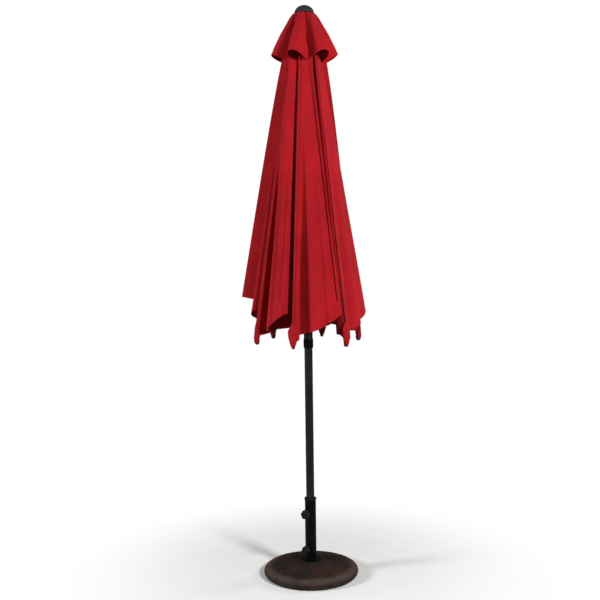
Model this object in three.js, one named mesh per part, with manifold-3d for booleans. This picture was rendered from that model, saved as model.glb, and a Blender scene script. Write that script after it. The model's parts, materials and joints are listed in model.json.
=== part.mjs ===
// Patio umbrella with a round weighted base, stored closed.
// Millimetres, +Z up, origin at the centre of the base's underside, front = -Y.
import * as THREE from "three";
import { mergeVertices } from "three/addons/utils/BufferGeometryUtils.js";
import Module from "manifold-3d";

const wasm = await Module();
wasm.setup();

// ---- driving dimensions ----
const RIBS = 6;
const FIRST_RIB = -16; // azimuth of rib 1 in degrees, from the front (-Y) towards +X
const HINGE_R = 35; // radius of the wire rings that carry the ribs and the struts
const HINGE_Z = 2375; // height of the rib hinges
const RIB_LENGTH = 1350; // from the hinge to the end of the bar
const RIB_DEEP = 16;
const RIB_THICK = 8;
const REST_POLAR = 8; // angle between a closed rib and the pole
const OPEN_TURN = 65; // how far a rib turns when the canopy opens
const JOINT_U = 570; // where a strut meets its rib, along the rib
const JOINT_V = -16; // and how far inside the rib's centre line
const CLOTH_V = 13; // the cloth lies this far outside the rib's centre line
const CLOTH_LENGTH = 1352;
const PANEL_THICK = 3;
const BASE_R = 205;
const POLE_R = 17.5; // lower pole
const SLEEVE_R = 19; // upper pole, which slides over the lower one
// How each gore hangs when closed: the fold's azimuth past its rib, and its radius at the hem.
const FOLDS = [
  [47, 240], [56, 205], [40, 235], [40, 235], [43, 285], [47, 240],
];

const rad = (deg) => (deg * Math.PI) / 180;
const v3 = (x, y, z) => new THREE.Vector3(x, y, z);

// ---- solids ----
function solid(geometry) {
  const bare = geometry.clone();
  bare.deleteAttribute("normal");
  bare.deleteAttribute("uv");
  const merged = mergeVertices(bare, 1e-4);
  const index = merged.index.array;
  const kept = [];
  for (let i = 0; i < index.length; i += 3) {
    const [a, b, c] = [index[i], index[i + 1], index[i + 2]];
    if (a !== b && b !== c && c !== a) kept.push(a, b, c);
  }
  return new wasm.Manifold(
    new wasm.Mesh({
      numProp: 3,
      vertProperties: new Float32Array(merged.attributes.position.array),
      triVerts: new Uint32Array(kept),
    }),
  );
}

function geometryOf(body) {
  const mesh = body.getMesh();
  return new THREE.BufferGeometry()
    .setAttribute("position", new THREE.BufferAttribute(new Float32Array(mesh.vertProperties), 3))
    .setIndex(new THREE.BufferAttribute(new Uint32Array(mesh.triVerts), 1));
}

const moved = (geometry, matrix) => solid(geometry.clone().applyMatrix4(matrix));

// A solid of revolution about Z from [radius, height] points listed anticlockwise.
function turned(points, segments = 48) {
  const profile = [...points, points[0]].map(([r, z]) => new THREE.Vector2(r, z));
  return new THREE.LatheGeometry(profile, segments).rotateX(Math.PI / 2);
}

const ring = (inner, outer, low, high, segments = 48) =>
  turned([[inner, low], [outer, low], [outer, high], [inner, high]], segments);

const rod = (radius, low, high, segments = 24) =>
  new THREE.CylinderGeometry(radius, radius, high - low, segments)
    .rotateX(Math.PI / 2)
    .translate(0, 0, (low + high) / 2);

const block = (x0, x1, y0, y1, z0, z1) =>
  new THREE.BoxGeometry(x1 - x0, y1 - y0, z1 - z0)
    .translate((x0 + x1) / 2, (y0 + y1) / 2, (z0 + z1) / 2);

// A rod along X, between two x values, at (y, z).
const crossRod = (radius, x0, x1, y = 0, z = 0, segments = 20) =>
  rod(radius, x0, x1, segments).rotateY(Math.PI / 2).translate(0, y, z);

// ---- the group ----
const group = new THREE.Group();
const FINISHES = {
  stone: [0x2e2a28, 0.6], black_steel: [0x17181c, 0.35], black_paint: [0x101113, 0.45],
  plastic: [0x141517, 0.5], grey_plastic: [0x3a4444, 0.55], steel: [0xb8babd, 0.3],
  aluminium: [0xa7abae, 0.35], canvas: [0x9e2028, 0.9],
};

function part(name, body, finish, turn = 0) {
  const [color, roughness] = FINISHES[finish];
  const metalness = finish === "steel" || finish === "aluminium" ? 1 : 0;
  const material = new THREE.MeshStandardMaterial({ color, roughness, metalness, name: finish });
  const mesh = new THREE.Mesh(geometryOf(body).rotateZ(rad(turn)), material);
  mesh.name = name;
  group.add(mesh);
}

// ---- base and stand ----
// A cast disc with a rounded rim, a low dome and a stepped hole: the tube's socket above,
// a smaller hole for the steel nut below.
const rim = [];
for (let i = 0; i <= 8; i++) {
  const a = rad(-90 + i * 22.5);
  rim.push([BASE_R - 16 + 16 * Math.cos(a), 18 + 18 * Math.sin(a)]);
}
const dome = [];
for (let i = 1; i <= 8; i++) {
  const f = i / 8;
  dome.push([(BASE_R - 16) * (1 - f) + 46 * f, 36 + 30 * Math.sin((f * Math.PI) / 2)]);
}
const stone = solid(turned([[0, 0], ...rim, ...dome, [0, 66]], 72))
  .subtract(solid(rod(24.5, 20, 80, 48)))
  .subtract(solid(rod(9.3, 8, 30, 24)));
part("base_weight", stone, "stone");
part("base_collar_ring", solid(turned([
  [24.4, 66.3], [43, 66.3], [43, 69], [40.5, 71], [31, 72], [28.4, 75], [24.4, 75],
])), "black_paint");
part("stand_insert_nut", solid(ring(6.2, 9, 8.3, 19.7, 6)), "steel");
part("stand_foot_plug", solid(turned([
  [0, 9], [5, 9], [5, 20.3], [22, 20.3], [22, 60], [17.8, 60], [17.8, 36], [0, 36],
])), "plastic");

const KNOB_TURN = -33; // the tightening knobs stand front-left
const KNOB_HEIGHTS = { upper_knob: 272, lower_knob: 116 };
let tube = solid(ring(22.3, 24, 22, 330));
for (const z of Object.values(KNOB_HEIGHTS)) {
  const out = new THREE.Matrix4().makeRotationX(Math.PI / 2).setPosition(0, 0, z);
  tube = tube.add(moved(rod(9, 22.6, 31, 24), out)).subtract(moved(rod(4.4, 15, 40, 20), out));
}
part("stand_tube", tube, "black_paint", KNOB_TURN);
part("stand_top_bush", solid(turned([
  [17.8, 305], [22, 305], [22, 330.3], [26, 330.3], [26, 336], [24.5, 338], [17.8, 338],
])), "plastic");

// Six-lobed heads on a plain stem, turned radially outwards.
function knobHead(radius, dip) {
  const shape = new THREE.Shape();
  const steps = 48;
  for (let i = 0; i <= steps; i++) {
    const a = (i / steps) * 2 * Math.PI;
    const r = radius - dip * (0.5 - 0.5 * Math.cos(6 * a));
    if (i === 0) shape.moveTo(r, 0);
    else shape.lineTo(r * Math.cos(a), r * Math.sin(a));
  }
  return new THREE.ExtrudeGeometry(shape, {
    depth: 13, bevelEnabled: true, bevelThickness: 2, bevelSize: 2, bevelSegments: 2,
  });
}
for (const [name, z] of Object.entries(KNOB_HEIGHTS)) {
  const out = new THREE.Matrix4().makeRotationX(Math.PI / 2).setPosition(0, 0, z);
  const head = knobHead(name === "upper_knob" ? 18 : 16, 3).translate(0, 0, 34);
  const knob = moved(head, out).add(moved(rod(4, 18, 40, 20), out));
  part(name, knob, "plastic", KNOB_TURN);
}

// ---- pole ----
part("lower_pole", solid(ring(16, POLE_R, 36.5, 1110)), "black_steel");
const crossPin = crossRod(2.3, -30, 30, 0, 2340);
part("upper_pole", solid(ring(17.8, SLEEVE_R, 1000, 2400)).subtract(solid(crossPin)), "black_steel");
part("pole_ferrule", solid(turned([
  [19.3, 992], [19.8, 992], [21, 996], [21, 1030], [20, 1034], [19.3, 1034],
])), "black_paint");
part("finial_cap", solid(turned([
  [0, 2380], [17.3, 2380], [17.3, 2400.4], [20, 2400.4], [20, 2418], [42, 2418], [41, 2424],
  [36, 2434], [28, 2442], [16, 2448], [0, 2450],
])), "grey_plastic");
part("pulley_pin", solid(crossRod(2, -18.6, 18.6, 0, 2340)), "steel");
const grooved = turned([[2.3, -5], [12, -5], [12, -3.5], [9, 0], [12, 3.5], [12, 5], [2.3, 5]], 32);
part("top_pulley", solid(grooved.rotateY(Math.PI / 2).translate(0, 0, 2340)), "plastic");

// ---- hub and runner ----
const JOINT_POLAR = REST_POLAR - (Math.atan(-JOINT_V / JOINT_U) * 180) / Math.PI;
const STRUT_LENGTH = Math.hypot(JOINT_U, JOINT_V); // as long as hinge to joint
const RUNNER_Z = HINGE_Z - 2 * STRUT_LENGTH * Math.cos(rad(JOINT_POLAR));

function slotted(body, z, width) {
  let cut = body;
  for (let k = 0; k < RIBS; k++) {
    const slot = block(-width / 2, width / 2, -60, -27, z - 14, z + 14);
    cut = cut.subtract(solid(slot.rotateZ(rad(FIRST_RIB + 60 * k))));
  }
  return cut.subtract(solid(new THREE.TorusGeometry(HINGE_R, 1.9, 10, 48).translate(0, 0, z)));
}
const wire = (z) => solid(new THREE.TorusGeometry(HINGE_R, 1.6, 8, 48).translate(0, 0, z));

part("top_hub", slotted(solid(turned([
  [19.3, 2361], [25, 2361], [27, 2364], [41, 2364], [42, 2366], [42, 2384], [41, 2386], [19.3, 2386],
])), HINGE_Z, 9), "plastic");
part("top_hub_ring", wire(HINGE_Z), "steel");
const rz = RUNNER_Z;
part("runner", slotted(solid(turned([
  [19.4, rz - 26], [24, rz - 26], [24, rz - 13], [27, rz - 10], [42, rz - 10], [42, rz + 10],
  [27, rz + 10], [24, rz + 13], [24, rz + 26], [19.4, rz + 26],
])), RUNNER_Z, 7), "plastic");
part("runner_ring", wire(RUNNER_Z), "steel");

// ---- ribs, struts and rib ends ----
// Local frame of a rib: x across it, y away from the pole, z along it from the hinge.
const REST = rad(REST_POLAR);
const ribFrame = new THREE.Matrix4()
  .makeBasis(
    v3(1, 0, 0),
    v3(0, -Math.cos(REST), Math.sin(REST)),
    v3(0, -Math.sin(REST), -Math.cos(REST)),
  )
  .setPosition(0, -HINGE_R, HINGE_Z);
const half = RIB_THICK / 2;
const jz = JOINT_U;
const jy = JOINT_V;
let ribLocal = solid(block(-half, half, -RIB_DEEP / 2, RIB_DEEP / 2, 11, RIB_LENGTH))
  .add(solid(block(-half, half, -6, 6, 3, 12)))
  .add(solid(crossRod(7, -half, half)))
  .subtract(solid(crossRod(2.4, -20, 20)));
for (const side of [-1, 1]) {
  const [a, b] = side < 0 ? [-6, -3.5] : [3.5, 6];
  ribLocal = ribLocal.add(solid(block(a, b, jy - 6.5, -5, jz - 9, jz + 9)));
}
ribLocal = ribLocal.add(solid(crossRod(2.2, -5, 5, jy, jz)));

const lean = rad(JOINT_POLAR);
const strutFrame = new THREE.Matrix4()
  .makeBasis(
    v3(1, 0, 0),
    v3(0, Math.cos(lean), Math.sin(lean)),
    v3(0, -Math.sin(lean), Math.cos(lean)),
  )
  .setPosition(0, -HINGE_R, RUNNER_Z);
let strutLocal = solid(block(-3, 3, -5, 5, 4, STRUT_LENGTH - 4));
for (const z of [0, STRUT_LENGTH]) {
  strutLocal = strutLocal
    .add(solid(crossRod(6.2, -3, 3, 0, z)))
    .subtract(solid(crossRod(2.6, -20, 20, 0, z)));
}
const tipLocal = solid(block(-5, 5, -9, 9, RIB_LENGTH + 0.3, RIB_LENGTH + 14))
  .add(solid(crossRod(9, -5, 5, 0, RIB_LENGTH + 14, 24)));

for (let k = 0; k < RIBS; k++) {
  const turn = FIRST_RIB + 60 * k;
  const place = (body, frame) => solid(geometryOf(body).applyMatrix4(frame));
  part("rib_" + (k + 1), place(ribLocal, ribFrame), "aluminium", turn);
  part("strut_" + (k + 1), place(strutLocal, strutFrame), "aluminium", turn);
  part("rib_tip_" + (k + 1), place(tipLocal, ribFrame), "plastic", turn);
}

// ---- crank ----
const CRANK_Z = 1150;
const housing = solid(ring(19.4, 25, 1100, 1200))
  .add(solid(block(21.5, 58, -22, 22, 1112, 1188)))
  .subtract(solid(block(26, 55, -19, 19, 1100, 1185)))
  .subtract(solid(rod(19.4, 1090, 1210, 48)))
  .subtract(solid(crossRod(5.3, 50, 62, 0, CRANK_Z)));
part("crank_housing", housing, "plastic");
const drum = turned([
  [5.3, -9], [14, -9], [14, -7], [10, -7], [10, 7], [14, 7], [14, 9], [5.3, 9],
], 32).rotateY(Math.PI / 2).translate(39, 0, CRANK_Z);
part("crank_spool", solid(drum), "plastic");
const arm = solid(crossRod(5, 29, 66, 0, CRANK_Z, 24))
  .add(solid(block(60, 68, -9, 9, CRANK_Z, CRANK_Z + 72)))
  .add(solid(crossRod(13, 60, 68, 0, CRANK_Z, 32)))
  .add(solid(crossRod(9, 60, 68, 0, CRANK_Z + 72, 32)))
  .add(solid(crossRod(4, 64, 96, 0, CRANK_Z + 72, 20)));
part("crank_arm", arm, "plastic");
const grip = turned([[4.4, 0], [9, 0], [11, 4], [10, 14], [11.5, 24], [9, 29], [4.4, 29]], 32);
const gripPlace = new THREE.Matrix4().makeRotationY(Math.PI / 2).setPosition(69, 0, CRANK_Z + 72);
part("crank_knob", moved(grip, gripPlace), "plastic");

// ---- canopy panels ----
// A point on the rib's cloth line, distance u along it, with the rib turned to a polar angle.
function clothLine(azimuth, u, polar) {
  const [s, c] = [Math.sin(rad(polar)), Math.cos(rad(polar))];
  const r = HINGE_R + u * s + CLOTH_V * c;
  return v3(0, -r, HINGE_Z - u * c + CLOTH_V * s).applyAxisAngle(v3(0, 0, 1), rad(azimuth));
}
// The closed place of the hem's middle: as far from the hub as on the open canopy.
function foldPoint(gore) {
  const azimuth = FIRST_RIB + 60 * gore;
  const [turn, radius] = FOLDS[gore];
  const open = REST_POLAR + OPEN_TURN;
  const middle = clothLine(azimuth, CLOTH_LENGTH, open)
    .add(clothLine(azimuth + 60, CLOTH_LENGTH, open)).multiplyScalar(0.5);
  const reach = middle.distanceTo(clothLine(azimuth, 0, open));
  const place = v3(0, -radius, 0).applyAxisAngle(v3(0, 0, 1), rad(azimuth + turn));
  const tops = [0, 60].map((d) => clothLine(azimuth + d, 0, REST_POLAR));
  const flat = tops.map((q) => (place.x - q.x) ** 2 + (place.y - q.y) ** 2);
  place.z = tops[0].z - Math.sqrt(reach ** 2 - (flat[0] + flat[1]) / 2);
  return place;
}
// A thin plate on four corners, its edges drawn in by a margin.
function plate(corners, margin, thick) {
  const [a, b, c, d] = corners;
  const drawIn = (from, to) => {
    const step = to.clone().sub(from);
    return from.clone().add(step.setLength(Math.min(margin, step.length() / 3)));
  };
  const inner = [drawIn(a, d), drawIn(b, c), drawIn(c, b), drawIn(d, a)];
  const normal = c.clone().sub(a).cross(d.clone().sub(b)).normalize();
  if (normal.x * a.x + normal.y * a.y < 0) normal.negate();
  const low = inner.map((p) => p.clone().addScaledVector(normal, -thick / 2));
  const high = inner.map((p) => p.clone().addScaledVector(normal, thick / 2));
  const points = [...low, ...high].flatMap((p) => [p.x, p.y, p.z]);
  const faces = [0, 2, 1, 0, 3, 2, 4, 5, 6, 4, 6, 7];
  for (let i = 0; i < 4; i++) {
    const j = (i + 1) % 4;
    faces.push(i, j, j + 4, i, j + 4, i + 4);
  }
  const made = new THREE.BufferGeometry()
    .setAttribute("position", new THREE.Float32BufferAttribute(points, 3))
    .setIndex(faces);
  const body = solid(made);
  if (body.volume() > 0) return body;
  for (let i = 0; i < faces.length; i += 3) [faces[i + 1], faces[i + 2]] = [faces[i + 2], faces[i + 1]];
  return solid(made.setIndex(faces));
}
const START = 90; // the panels start this far down the rib
for (let g = 0; g < RIBS; g++) {
  const azimuth = FIRST_RIB + 60 * g;
  const hem = foldPoint(g);
  const hubMiddle = v3(0, -HINGE_R - CLOTH_V, HINGE_Z)
    .applyAxisAngle(v3(0, 0, 1), rad(azimuth + FOLDS[g][0]));
  const top = hubMiddle.lerp(hem, START / CLOTH_LENGTH);
  for (const [side, name] of [[0, "leading"], [60, "trailing"]]) {
    const upper = clothLine(azimuth + side, START, REST_POLAR);
    const lower = clothLine(azimuth + side, CLOTH_LENGTH, REST_POLAR);
    const body = plate([upper, lower, hem, top], 5, PANEL_THICK);
    part("gore_" + (g + 1) + "_" + name + "_panel", body, "canvas");
  }
}

// ---- vent top ----
// One six-sided skirt, corners over the ribs, held under the finial cap.
const vent = turned([
  [133.6, 2246], [136, 2246], [50.5, 2411.5], [24, 2415], [24, 2413], [49, 2409.5],
], RIBS);
part("vent_top", solid(vent), "canvas", FIRST_RIB);

export default group;
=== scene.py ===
# %% [markdown]
# # A closed patio umbrella on a round base
# The umbrella is bought as a pole, a folding frame, a sewn canopy and a heavy base.
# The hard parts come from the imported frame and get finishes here. The canopy, its pockets,
# seams and vent are soft, so they are built here as thin cloth.

# %% Load the frame
import json
import math

import bpy
import numpy as np
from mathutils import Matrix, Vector

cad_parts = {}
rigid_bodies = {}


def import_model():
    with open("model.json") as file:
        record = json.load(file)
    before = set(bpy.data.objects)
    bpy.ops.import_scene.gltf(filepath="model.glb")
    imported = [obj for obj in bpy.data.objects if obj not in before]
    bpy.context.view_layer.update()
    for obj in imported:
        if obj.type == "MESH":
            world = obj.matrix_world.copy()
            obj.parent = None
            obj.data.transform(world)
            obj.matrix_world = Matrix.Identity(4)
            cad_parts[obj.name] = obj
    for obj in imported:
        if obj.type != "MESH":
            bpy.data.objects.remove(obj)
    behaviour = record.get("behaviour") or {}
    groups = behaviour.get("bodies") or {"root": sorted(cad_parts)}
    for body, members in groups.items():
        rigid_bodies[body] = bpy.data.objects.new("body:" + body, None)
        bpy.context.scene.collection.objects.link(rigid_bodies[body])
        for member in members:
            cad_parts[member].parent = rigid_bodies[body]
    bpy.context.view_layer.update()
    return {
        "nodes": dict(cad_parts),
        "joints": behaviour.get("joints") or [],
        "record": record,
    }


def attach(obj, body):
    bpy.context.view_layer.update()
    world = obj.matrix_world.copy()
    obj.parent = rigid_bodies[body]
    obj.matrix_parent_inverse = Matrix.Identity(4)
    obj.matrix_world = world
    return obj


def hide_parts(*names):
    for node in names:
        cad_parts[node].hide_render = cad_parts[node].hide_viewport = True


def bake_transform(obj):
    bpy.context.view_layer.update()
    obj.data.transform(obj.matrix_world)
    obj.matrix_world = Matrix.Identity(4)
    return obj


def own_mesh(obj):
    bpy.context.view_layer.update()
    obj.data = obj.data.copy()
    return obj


for old in list(bpy.data.objects):
    bpy.data.objects.remove(old)
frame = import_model()
joints = {j["name"]: j for j in frame["joints"]}

# %% [markdown]
# ## Camera, floor and light
# A lens of about 56 mm, four metres away and at chest height, shows the whole umbrella without
# bending it. A small shift lets it stay nearly level, so that upright lines stay nearly parallel.
# A soft lamp stands front right and lights the front flap. A second one stands far round to the
# left, so that it lights the broad left face but leaves the valleys between the flaps dark. A
# third rims the right edge.

# %% Camera and lamps
CAMERA_PLACE = (-0.005, -4.02, 1.51)
CAMERA_TURN = (87.05, 0.75, 0.35)
LAMPS_FACE = (0, 0, 1.2)


def aim(name, data, place, turn):
    obj = bpy.data.objects.new(name, data)
    obj.location = place
    obj.rotation_euler = [math.radians(a) for a in turn]
    bpy.context.scene.collection.objects.link(obj)
    return obj


lens = bpy.data.cameras.new("camera")
lens.lens = 56.2
lens.shift_y = -0.04
lens.sensor_width = 36.0
camera = aim("camera", lens, CAMERA_PLACE, CAMERA_TURN)
bpy.context.scene.camera = camera


def area_light(name, place, size, watts):
    lamp = bpy.data.lights.new(name, "AREA")
    lamp.shape = "DISK"
    lamp.size = size
    lamp.energy = watts
    obj = aim(name, lamp, place, (0, 0, 0))
    away = Vector(LAMPS_FACE) - Vector(place)
    obj.rotation_euler = away.to_track_quat("-Z", "Y").to_euler()


area_light("key", (2.3, -3.1, 2.7), 0.8, 165)
area_light("fill", (-4.1, -1.3, 2.0), 1.0, 150)
area_light("rim", (3.0, 1.2, 2.0), 1.2, 30)
print("camera at", tuple(camera.location))


# %% [markdown]
# ## Colours and shader nodes
# Colours are written as sRGB hex, as a paint chart gives them, and Blender works in linear light,
# so one function converts them. Another adds a shader node with its settings and links.

# %% Helpers for materials
def linear(hex_colour):
    """An sRGB hex colour as linear red, green, blue and alpha."""
    parts = [int(hex_colour[i : i + 2], 16) / 255 for i in (1, 3, 5)]
    return (*[c / 12.92 if c <= 0.04045 else ((c + 0.055) / 1.055) ** 2.4 for c in parts], 1.0)


def add(tree, kind, inputs=None, **settings):
    """A new shader node; an input is a plain value or another node's output socket."""
    made = tree.nodes.new("ShaderNode" + kind)
    for key, value in settings.items():
        setattr(made, key, value)
    for key, value in (inputs or {}).items():
        if isinstance(value, bpy.types.NodeSocket):
            tree.links.new(value, made.inputs[key])
        else:
            made.inputs[key].default_value = value
    return made


def start(name):
    """A new material with an empty tree, and its tree."""
    made = bpy.data.materials.new(name)
    made.use_nodes = True
    made.node_tree.nodes.clear()
    return made, made.node_tree


def ramp(tree, factor, stops):
    """A colour ramp from (position, hex) stops."""
    made = add(tree, "ValToRGB", {"Fac": factor})
    band = made.color_ramp.elements
    while len(band) < len(stops):
        band.new(0.5)
    for element, (position, colour) in zip(band, stops):
        element.position = position
        element.color = linear(colour)
    return made.outputs["Color"]


def finish_material(tree, inputs, height=None, strength=0.2, distance=0.001):
    """Ends a tree with a Principled shader, and a bump if a height is given."""
    if height is not None:
        bump = add(tree, "Bump", {"Height": height, "Strength": strength, "Distance": distance})
        inputs = {**inputs, "Normal": bump.outputs["Normal"]}
    shader = add(tree, "BsdfPrincipled", inputs)
    add(tree, "OutputMaterial", {"Surface": shader.outputs["BSDF"]})


# %% [markdown]
# ## The floor
# A studio sweep is plain matt paper. Only the part around the base matters, because that is where
# the shadow and the light from below come from. It fades out a little over a metre from the pole,
# so that no edge or horizon shows from any side. The surround looks white but lights only faintly.

# %% Floor
FADE_FROM, FADE_TO = 0.28, 1.15
HALF_FLOOR = 2

paper, tree = start("matt_paper_floor")
place = add(tree, "TexCoord").outputs["Object"]
fibre = add(tree, "TexNoise", {"Vector": place, "Scale": 9.0, "Detail": 3.0})
tone = ramp(tree, fibre.outputs["Fac"], [(0.3, "#f1f1f0"), (0.7, "#f6f6f5")])
matt = add(tree, "BsdfPrincipled", {"Base Color": tone, "Roughness": 0.9})
away = add(tree, "VectorMath", {0: place}, operation="LENGTH")
fade = add(tree, "MapRange",
           {"Value": away.outputs["Value"], "From Min": FADE_FROM, "From Max": FADE_TO},
           interpolation_type="SMOOTHSTEP")
clear = add(tree, "BsdfTransparent")
both = add(tree, "MixShader", {0: fade.outputs["Result"], 1: matt.outputs[0], 2: clear.outputs[0]})
add(tree, "OutputMaterial", {"Surface": both.outputs[0]})
sheet = bpy.data.meshes.new("floor")
corners = [(-HALF_FLOOR, -HALF_FLOOR, 0), (HALF_FLOOR, -HALF_FLOOR, 0),
           (HALF_FLOOR, HALF_FLOOR, 0), (-HALF_FLOOR, HALF_FLOOR, 0)]
sheet.from_pydata(corners, [], [(0, 1, 2, 3)])
sheet.materials.append(paper)
floor = aim("floor", sheet, (0, 0, -0.0006), (0, 0, 0))
print("floor fades from", FADE_FROM, "to", FADE_TO, "m")

# %% Surround
world = bpy.data.worlds.new("studio")
world.use_nodes = True
sky = world.node_tree
seen = add(sky, "LightPath").outputs["Is Camera Ray"]
glow = add(sky, "MapRange", {"Value": seen, "To Min": 0.11, "To Max": 1.0})
sky.links.new(glow.outputs["Result"], sky.nodes["Background"].inputs["Strength"])
sky.nodes["Background"].inputs["Color"].default_value = (1, 1, 1, 1)
bpy.context.scene.world = world
bpy.context.scene.view_settings.view_transform = "Standard"
print("surround ready")

# %% [markdown]
# ## Canopy canvas
# Outdoor canopies are solution-dyed polyester: the yarn is coloured right through, and woven
# plain, one thread over and one under. The weave is two crossed sets of bands measured along the
# cloth in metres. Real threads are about 0.5 mm apart, which is finer than a picture shows, so
# the pitch is coarsened to 2 mm. Broad soft patches give the slight fading of used cloth.

# %% Canvas
# A wave texture repeats every 0.314 m divided by its scale, so this gives 2 mm.
WEAVE_SCALE = 157.0


def canvas(name, dark, mid, light):
    made, tree = start(name)
    along = add(tree, "UVMap", uv_map="cloth").outputs["UV"]
    bands = {"Vector": along, "Scale": WEAVE_SCALE, "Distortion": 0.4, "Detail": 1.0}
    warp = add(tree, "TexWave", bands, bands_direction="X")
    weft = add(tree, "TexWave", bands, bands_direction="Y")
    weave = add(tree, "Math", {0: warp.outputs["Fac"], 1: weft.outputs["Fac"]}, operation="MULTIPLY")
    patches = add(tree, "TexNoise", {"Vector": along, "Scale": 5.0, "Detail": 4.0, "Roughness": 0.6})
    slub = add(tree, "TexNoise", {"Vector": along, "Scale": 260.0, "Detail": 2.0})
    mixed = add(tree, "Math", {0: slub.outputs["Fac"], 1: 0.25}, operation="MULTIPLY")
    depth = add(tree, "Math", {0: patches.outputs["Fac"], 1: mixed.outputs[0]}, operation="ADD")
    colour = ramp(tree, depth.outputs[0], [(0.35, dark), (0.62, mid), (0.9, light)])
    height = add(tree, "Math", {0: weave.outputs[0], 1: mixed.outputs[0]}, operation="ADD")
    finish_material(
        tree,
        {"Base Color": colour, "Roughness": 0.9, "Sheen Weight": 0.05, "Sheen Roughness": 0.4,
         "Specular IOR Level": 0.2},
        height.outputs[0], 0.35, 0.0006,
    )
    return made


RED_CANVAS = canvas("solution_dyed_polyester_canvas", "#8a0a12", "#a20e18", "#b4141e")
SEAM_CANVAS = canvas("folded_canvas_seam_tape", "#800f16", "#96131b", "#a31720")
print("canvas weave", round(314 / WEAVE_SCALE, 2), "mm")

# %% [markdown]
# ## Hard finishes
# The pole is steel tube with a gloss powder coat, which levels out with a faint orange peel. The
# fittings are moulded polypropylene with a fine spark-eroded grain. The base is cast from resin
# and stone dust, mottled brown-black, with a painted highlight as a lighter band round the rim.

# %% Paint, plastic and metal
def coated(name, colour, spread, roughness, peel, shine=0.3, metallic=0.0, scale=220.0):
    """A hard finish: a colour that varies a little, and a fine surface grain."""
    made, tree = start(name)
    place = add(tree, "TexCoord").outputs["Object"]
    broad = add(tree, "TexNoise", {"Vector": place, "Scale": 14.0, "Detail": 3.0})
    grain = add(tree, "TexNoise", {"Vector": place, "Scale": scale, "Detail": 2.0})
    tone = ramp(tree, broad.outputs["Fac"], [(0.3, colour), (0.75, spread)])
    rough = add(tree, "MapRange", {"Value": broad.outputs["Fac"], "To Min": roughness - 0.05,
                                   "To Max": roughness + 0.07})
    finish_material(
        tree,
        {"Base Color": tone, "Roughness": rough.outputs["Result"], "Metallic": metallic,
         "Specular IOR Level": shine},
        grain.outputs["Fac"], peel, 0.0005,
    )
    return made


# %% Cast resin
# The painted highlight band round the base's rim, as heights above the floor where it begins, is full
# and ends.
RIM_BEGINS, RIM_FULL, RIM_FALLS, RIM_ENDS = 0.022, 0.036, 0.037, 0.044


def cast_resin():
    made, tree = start("cast_resin_and_stone_dust")
    place = add(tree, "TexCoord").outputs["Object"]
    cloud = add(tree, "TexNoise", {"Vector": place, "Scale": 11.0, "Detail": 6.0, "Roughness": 0.65})
    speck = add(tree, "TexVoronoi", {"Vector": place, "Scale": 170.0})
    tone = ramp(tree, cloud.outputs["Fac"],
                [(0.34, "#1c1715"), (0.48, "#2a2320"), (0.60, "#3b2420"), (0.74, "#40342d")])
    specks = ramp(tree, speck.outputs["Distance"], [(0.05, "#5a4d44"), (0.16, "#221c19")])
    body = add(tree, "MixRGB", {"Fac": 0.25, "Color1": tone, "Color2": specks})
    height_z = add(tree, "SeparateXYZ", {"Vector": place}).outputs["Z"]
    # The band between these heights is lightened as a painted highlight along the rim's shoulder,
    # broken up by the mottling.
    edge = add(tree, "MapRange", {"Value": height_z, "From Min": RIM_BEGINS, "From Max": RIM_FULL})
    past = add(tree, "MapRange", {"Value": height_z, "From Min": RIM_ENDS, "From Max": RIM_FALLS})
    rim = add(tree, "Math", {0: edge.outputs["Result"], 1: past.outputs["Result"]},
              operation="MULTIPLY")
    patchy = add(tree, "Math", {0: rim.outputs[0], 1: cloud.outputs["Fac"]}, operation="MULTIPLY")
    painted_rim_highlight = add(tree, "MixRGB", {"Fac": patchy.outputs[0], "Color1": body.outputs["Color"],
                                "Color2": linear("#5c4f47")})
    rough = add(tree, "MapRange", {"Value": cloud.outputs["Fac"], "To Min": 0.6, "To Max": 0.8})
    both = add(tree, "Math", {0: cloud.outputs["Fac"], 1: speck.outputs["Distance"]},
               operation="ADD")
    finish_material(tree, {"Base Color": painted_rim_highlight.outputs["Color"], "Roughness": rough.outputs["Result"],
                           "Specular IOR Level": 0.08}, both.outputs[0], 0.3, 0.002)
    return made


# %% Finish of every hard piece
FINISHES = {
    "stone": cast_resin(),
    "black_steel": coated("gloss_powder_coated_steel", "#15171a", "#1b1d21", 0.28, 0.02, shine=0.4),
    "black_paint": coated("satin_powder_coated_steel", "#040405", "#070708", 0.45, 0.08, shine=0.08),
    "plastic": coated("moulded_polypropylene", "#0a0b0c", "#111214", 0.5, 0.12, 0.15, scale=600.0),
    "grey_plastic": coated("weathered_moulded_plastic", "#2a2e2e", "#373b3b", 0.5, 0.15, scale=600.0),
    "steel": coated("zinc_plated_steel", "#a9abad", "#c2c4c6", 0.32, 0.05, metallic=1.0),
    "aluminium": coated("grey_powder_coated_ribs", "#34373a", "#3d4043", 0.42, 0.1),
    "canvas": RED_CANVAS,
}
slots = {s["node"]: s["material_slot"] for s in frame["record"]["subparts"]}
for name, obj in frame["nodes"].items():
    obj.data.materials.clear()
    obj.data.materials.append(FINISHES[slots[name]])
print("finishes on", len(slots), "nodes")

# %% [markdown]
# ## Where the canopy lies
# Each gore is a flat triangle when the canopy is open. It is held along two ribs, so the whole
# open cloth follows from the rib hinges. To close it, each half of a gore is first carried home
# with its own rib, and then swung in towards the pole about its wing joint. A point that swings
# all the way lies in the fold, and a point that doesn't swing lies flat beside its rib.

# %% Open cloth and its way home
REST_POLAR = math.radians(8.0)
CLOTH_OUT = 0.013
CLOTH_LENGTH = 1.352
RIBS = 6


def turned(points, pivot, axis, angle):
    """Points turned about an axis; the angle, in radians, may differ for each point."""
    axis = np.asarray(axis, float) / np.linalg.norm(axis)
    arm = points - np.asarray(pivot, float)
    angle = np.broadcast_to(angle, points.shape[:-1])[..., None]
    return (pivot + arm * np.cos(angle) + np.cross(axis, arm) * np.sin(angle)
            + axis * (arm @ axis)[..., None] * (1 - np.cos(angle)))


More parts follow.
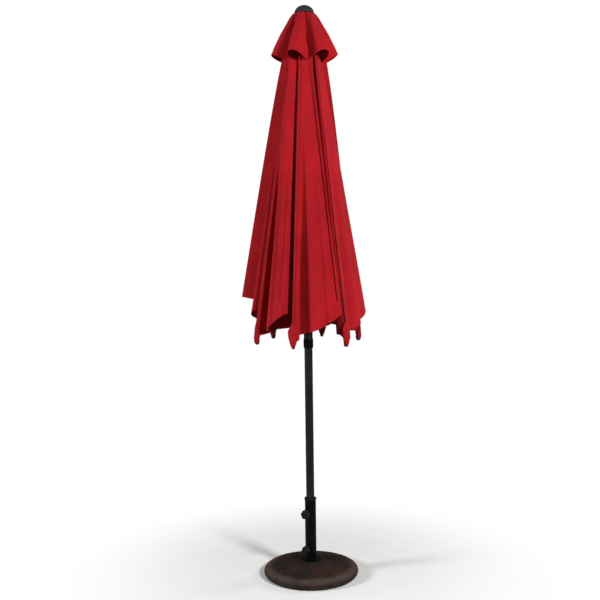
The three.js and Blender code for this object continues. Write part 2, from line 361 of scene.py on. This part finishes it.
def hinge(name):
    joint = joints[name]
    return (np.array(joint["pos_m"]), np.array(joint["axis"]),
            math.radians(joint["range_deg"][1]))


def rib_line(rib, share):
    """Where the cloth meets a closed rib, from 0 at the hub to 1 at the hem."""
    pivot = hinge(f"rib_{rib + 1}_hinge")[0]
    out = np.array([pivot[0], pivot[1], 0.0]) / math.hypot(pivot[0], pivot[1])
    up = np.array([0.0, 0.0, 1.0])
    down_rib = math.sin(REST_POLAR) * out - math.cos(REST_POLAR) * up
    off_rib = math.cos(REST_POLAR) * out + math.sin(REST_POLAR) * up
    return pivot + np.multiply.outer(share, CLOTH_LENGTH * down_rib) + CLOTH_OUT * off_rib


def open_line(rib, share):
    return turned(rib_line(rib, share), *hinge(f"rib_{rib + 1}_hinge"))


def carried_home(rib, other, share, across):
    """Open points between two ribs, moved back with the first rib as it closes."""
    here, there = open_line(rib, share), open_line(other, share)
    flat = here + (there - here) * 0.5 * across[..., None]
    pivot, axis, angle = hinge(f"rib_{rib + 1}_hinge")
    return turned(flat, pivot, axis, -angle)


def swung(points, wing, weight):
    pivot, axis, angle = hinge(wing)
    return turned(points, pivot, axis, -weight * angle)


# %% [markdown]
# ## How far each thread swings
# A point of a half gore has one freedom, its swing, from 0 at home beside its rib to 1 in the
# fold. The leading half lies on the outside of the closed canopy up to the flap's edge, so there
# its swing is found from the girth wanted at each thread. The trailing half first runs straight
# in behind its rib. Past those stretches both follow a few knots to the fold, where the swing is
# found by bringing the two edges together. Knots are eased, so that creases are rounded.

# %% Threads and knots
# A half gore is a grid of rows down from the hub and columns across from its rib to the fold.
# FACE is the girth across the outside of a flap, as a share of the girth at its rib. INSIDE and
# BEHIND say how much of the way to the fold is done, past the end of the outer stretch.
ROWS, COLUMNS = 84, 56
FIRST_SHARE = 0.06
share_rows = np.linspace(FIRST_SHARE, 1.0, ROWS)
SHARE, ACROSS = np.meshgrid(share_rows, np.linspace(0, 1, COLUMNS), indexing="ij")
FACE = [(0, 1), (0.03, 0.99), (0.12, 0.96), (0.22, 0.99), (0.30, 1.02), (0.36, 1.035), (0.40, 1.03),
        (0.43, 1.0), (1, 1.0)]
INSIDE = [(0, 0), (0.05, 0.06), (0.13, 0.36), (0.25, 0.78), (0.38, 0.96), (0.52, 1), (1, 1)]
BEHIND = [(0, 0), (0.12, 0.5), (0.26, 0.7), (0.40, 0.81), (0.51, 0.91), (0.63, 0.98), (0.72, 1), (1, 1)]
FLAP_EDGE, WALL_END = 0.43, 0.15
print("half gore grid", ROWS, "by", COLUMNS)


def eased(knots, t, reach=0.025):
    """Knots joined by lines, averaged over a short reach that shrinks to nothing at the ends."""
    x, y = np.array(knots, float).T
    room = np.minimum(reach, np.minimum(t, 1 - t))
    steps = np.linspace(-1, 1, 9)
    return np.mean([np.interp(t + room * step, x, y) for step in steps], axis=0)


# %% Outer stretch and the way inside
LEAST_SWING, MOST_SWING = 0.0, 0.95


def swing_until(home, wing, reached):
    """The least swing at which a test on the swung points comes true, for every point."""
    low, high = np.full_like(ACROSS, LEAST_SWING), np.full_like(ACROSS, MOST_SWING)
    for _ in range(26):
        middle = (low + high) / 2
        enough = reached(swung(home, wing, middle))
        low, high = np.where(enough, low, middle), np.where(enough, middle, high)
    return (low + high) / 2


def then_inside(outer, end, meet, knots):
    """Past the end of the outer part, the swing runs on to the fold by its own knots."""
    column = int(np.argmin(np.abs(ACROSS[0] - end)))
    at_end = outer[:, column : column + 1]
    beyond = np.clip((ACROSS - ACROSS[0, column]) / (1 - ACROSS[0, column]), 0, 1)
    return np.where(beyond > 0, at_end + (meet[:, None] - at_end) * eased(knots, beyond), outer)


# %% Where two halves meet
TRIES = 15


def meeting_swing(gore, share):
    """For each height, the swings at which the two halves' edges come closest.

    A net of swings round the best one so far is tried, and then a narrower one.
    """
    ribs = (gore, (gore + 1) % RIBS)
    wings = [f"gore_{gore + 1}_{side}_wing" for side in ("leading", "trailing")]
    edges = [carried_home(a, b, share, np.ones_like(share)) for a, b in (ribs, ribs[::-1])]
    best = np.ones((len(share), 2)) * 0.8
    width = 0.35
    for _ in range(7):
        steps = np.linspace(-width, width, TRIES)
        tries = [np.clip(best[:, i : i + 1] + steps, 0.2, 1.0) for i in (0, 1)]
        places = [swung(np.repeat(edge[:, None], TRIES, axis=1), wing, each)
                  for edge, wing, each in zip(edges, wings, tries)]
        gaps = np.linalg.norm(places[0][:, :, None] - places[1][:, None], axis=-1)
        flat = gaps.reshape(len(share), -1).argmin(1)
        rows = np.arange(len(share))
        best = np.stack([tries[0][rows, flat // TRIES], tries[1][rows, flat % TRIES]], axis=1)
        width *= 0.35
    return best


# %% [markdown]
# ## The twelve half gores
# Each gore is one triangle of cloth, but each half of it follows its own rib. It is made as two
# grids that share the fold edge, in its closed shape. Two creases run down the outside of each
# flap and deepen towards the hem, and slow ripples keep the folds from looking pressed.

# %% Grid of cloth
def grid_mesh(name, points, coords):
    """A smooth grid mesh with a cloth UV map in metres."""
    rows, columns = points.shape[:2]
    index = np.arange(rows * columns).reshape(rows, columns)
    faces = np.stack([index[:-1, :-1], index[1:, :-1], index[1:, 1:], index[:-1, 1:]], -1)
    mesh = bpy.data.meshes.new(name)
    mesh.from_pydata(points.reshape(-1, 3).tolist(), [], faces.reshape(-1, 4).tolist())
    mesh.shade_smooth()
    layer = mesh.uv_layers.new(name="cloth")
    corners = np.zeros(len(mesh.loops), int)
    mesh.loops.foreach_get("vertex_index", corners)
    layer.data.foreach_set("uv", coords.reshape(-1, 2)[corners].ravel().astype(np.float32))
    obj = bpy.data.objects.new(name, mesh)
    bpy.context.scene.collection.objects.link(obj)
    return obj


# %% Flat size of a half gore
hem = np.array([1.0])
hub = np.array([0.0])
half_width = np.linalg.norm(open_line(0, hem) - open_line(1, hem)) / 2
middle_length = np.linalg.norm(
    (open_line(0, hem) + open_line(1, hem)) / 2 - (open_line(0, hub) + open_line(1, hub)) / 2)
print("half gore", round(half_width, 3), "by", round(middle_length, 3), "m")

# %% Build the half gores
# A crease is its depth as a share of the girth, its place across and its width. A ripple is its
# size, its waves across, its waves down and how far it is shifted from one gore to the next.
CREASES = [(0.25, 0.115, 0.04), (0.05, 0.27, 0.03)]
CREASE_FROM, CREASE_GROWS = 0.35, 0.45
RIPPLES = [(0.010, 2.6, 0.5, 1.7), (0.006, 5.1, -0.8, 2.9)]
BESIDE_RIB = -0.009
RIB_REACH = 0.05

halves = []
for gore in range(RIBS):
    meet = meeting_swing(gore, share_rows)
    made = {}
    for side, rib, other in (("leading", gore, (gore + 1) % RIBS),
                             ("trailing", (gore + 1) % RIBS, gore)):
        home = carried_home(rib, other, SHARE, ACROSS)
        wing = f"gore_{gore + 1}_{side}_wing"
        out = rib_line(rib, np.array([0.5]))[0] * (1, 1, 0)
        out /= np.linalg.norm(out)
        if side == "leading":
            crease = sum(depth * np.exp(-((ACROSS - middle) / width) ** 2)
                         for depth, middle, width in CREASES)
            grown = np.clip((SHARE - CREASE_FROM) / CREASE_GROWS, 0, 1)
            at_rib = (rib_line(rib, share_rows) @ out)[:, None]
            girth = at_rib * (eased(FACE, ACROSS) - crease * grown)
            outer = swing_until(home, wing, lambda p: np.hypot(p[..., 0], p[..., 1]) < girth)
            swing = then_inside(outer, FLAP_EDGE, meet[:, 0], INSIDE)
        else:
            beside = np.cross([0.0, 0.0, 1.0], out)
            room = BESIDE_RIB * np.clip(ACROSS / RIB_REACH, 0, 1)
            outer = swing_until(home, wing, lambda p: p @ beside > room)
            swing = then_inside(outer, WALL_END, meet[:, 1], BEHIND)
        ripple = sum(size * np.sin(2 * math.pi * (sideways * ACROSS + downward * SHARE) + shift * gore)
                     for size, sideways, downward, shift in RIPPLES)
        swing = np.clip(swing + ripple * np.sin(math.pi * ACROSS) * SHARE, 0, 1)
        made[side] = (swing, swung(home, wing, swing), rib)
    seam = (made["leading"][1][:, -1] + made["trailing"][1][:, -1]) / 2
    for side, (swing, points, rib) in made.items():
        points[:, -1] = seam
        coords = np.stack([ACROSS * SHARE * half_width, SHARE * middle_length], -1)
        name = f"gore_{gore + 1}_{side}"
        cloth = grid_mesh(name + "_cloth", points, coords)
        cloth.data.materials.append(RED_CANVAS)
        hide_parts(name + "_panel")
        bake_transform(cloth)
        halves.append(cloth)
print(len(halves), "half gores")

# %% [markdown]
# ## The vent
# The small top canopy lets wind through. Closed, it hangs as a skirt of six lobes from the finial,
# standing out near the ribs and dipping in between them. The hem arches up under each lobe and
# pleats gather below the cap. It is one sheet on a polar grid.

# %% Shape of the vent
# The profile is radius and height, in metres, from under the cap down to the hem.
vent_profile = np.array([(0.030, 2.4155), (0.047, 2.4145), (0.060, 2.396), (0.074, 2.374),
                         (0.104, 2.326), (0.129, 2.276), (0.143, 2.244)])
LOBE_TURN = math.radians(6)
DIP, DIP_VARIES = 0.40, 0.03
PLEATS, PLEAT_DEPTH, PLEAT_AT, PLEAT_SPREAD = 18, 0.055, 0.3, 0.25
HEM_ARCH, HEM_WOBBLE = 0.034, 0.003

around = np.linspace(0, 2 * math.pi, 181)
down = np.linspace(0, 1, 40)
knots_at = np.linspace(0, 1, len(vent_profile))
first_rib = math.atan2(*(hinge("rib_1_hinge")[0][:2] * (1, -1)))
radius = np.interp(down, knots_at, vent_profile[:, 0])[:, None]
height = np.interp(down, knots_at, vent_profile[:, 1])[:, None]
wave = 0.5 - 0.5 * np.cos(RIBS * (around - first_rib + LOBE_TURN))
dip = wave ** 1.4 * (DIP + DIP_VARIES * np.sin(around * 2 + 0.7))
deeper = np.clip(down * 2.4 - 0.2, 0, 1)[:, None]
below_cap = np.exp(-((down - PLEAT_AT) / PLEAT_SPREAD) ** 2)[:, None]
pleat = PLEAT_DEPTH * np.sin(PLEATS * around + 0.6) * below_cap
skirt_radius = radius * (1 - dip[None] * deeper - pleat)
arch = HEM_ARCH * wave[None] * (down ** 2.5)[:, None]
wobble = HEM_WOBBLE * np.sin(5 * around)[None] * (down ** 4)[:, None]
skirt_height = height - arch + wobble
print("vent reaches", round(float(skirt_radius.max()), 3), "m from the pole's middle")

# %% Vent skirt
skirt = np.stack([skirt_radius * np.sin(around), -skirt_radius * np.cos(around), skirt_height], -1)
skirt_uv = np.stack(np.broadcast_arrays(around[None] * 0.13, down[:, None] * 0.2), -1)
vent = grid_mesh("vent_skirt", skirt, skirt_uv)
vent.data.materials.append(RED_CANVAS)
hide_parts("vent_top")
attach(vent, "pole")
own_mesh(vent)
print("vent grid", *skirt.shape[:2])

# %% [markdown]
# ## Rib seams and tip pockets
# Two gores are sewn together over each rib, with the edges folded into a flat ridge. At the hem
# the ridge runs into a pocket that holds the rib's end. Both are narrow closed tubes of canvas,
# flattened against the rib, so each is one loft of oval sections along the rib.

# %% Loft along a rib
def loft(name, centres, side, face, half_wide, half_deep, segments=20):
    """A closed tube of oval sections: their centres, two directions and two half sizes."""
    angle = np.linspace(0, 2 * math.pi, segments + 1)
    ring = (np.multiply.outer(half_wide, np.cos(angle))[..., None] * side
            + np.multiply.outer(half_deep, np.sin(angle))[..., None] * face)
    points = centres[:, None] + ring
    run = np.linalg.norm(centres - centres[0], axis=1)
    coords = np.stack(np.broadcast_arrays(angle[None] * 0.01, run[:, None]), -1)
    return grid_mesh(name, points, coords)


# %% Seams and pockets
# Widths and depths are half sizes, in metres, at knots along the pocket. Seams and pockets run
# between shares of the cloth's length, and a pocket goes a little past the hem, round the rib's tip.
SEAM_END, SEAM_RINGS = 0.985, 40
SEAM_RISE, SEAM_WIDE, SEAM_DEEP = 0.0006, 0.0045, 0.0016
POCKET_START, POCKET_END, POCKET_RINGS = 0.940, 1.0145, 24
POCKET_SINKS = 0.010
WIDE_AT, POCKET_WIDE = [0, 0.3, 0.55, 1], [0.007, 0.023, 0.021, 0.008]
DEEP_AT, POCKET_DEEP = [0, 0.3, 0.8, 1], [0.002, 0.008, 0.0115, 0.010]

for rib in range(RIBS):
    pivot = hinge(f"rib_{rib + 1}_hinge")[0]
    out = np.array([pivot[0], pivot[1], 0.0]) / math.hypot(pivot[0], pivot[1])
    off_rib = math.cos(REST_POLAR) * out + math.sin(REST_POLAR) * np.array([0.0, 0.0, 1.0])
    across_rib = np.cross([0.0, 0.0, 1.0], out)
    share = np.linspace(FIRST_SHARE, SEAM_END, SEAM_RINGS)
    seam = loft(f"seam_{rib + 1}", rib_line(rib, share) + SEAM_RISE * off_rib, across_rib, off_rib,
                np.full(SEAM_RINGS, SEAM_WIDE), np.full(SEAM_RINGS, SEAM_DEEP), 12)
    share = np.linspace(POCKET_START, POCKET_END, POCKET_RINGS)
    along = np.linspace(0, 1, POCKET_RINGS)
    rounded = np.sqrt(1 - along ** 14)
    wide = np.interp(along, WIDE_AT, POCKET_WIDE) * rounded
    deep = np.interp(along, DEEP_AT, POCKET_DEEP) * rounded
    centres = rib_line(rib, share) - POCKET_SINKS * off_rib * along[:, None] ** 0.8
    pocket = loft(f"tip_pocket_{rib + 1}", centres, across_rib, off_rib, wide, deep)
    for piece in (seam, pocket):
        piece.data.materials.append(SEAM_CANVAS if piece is seam else RED_CANVAS)
        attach(piece, f"rib_{rib + 1}")
print("seams and pockets on", RIBS, "ribs")
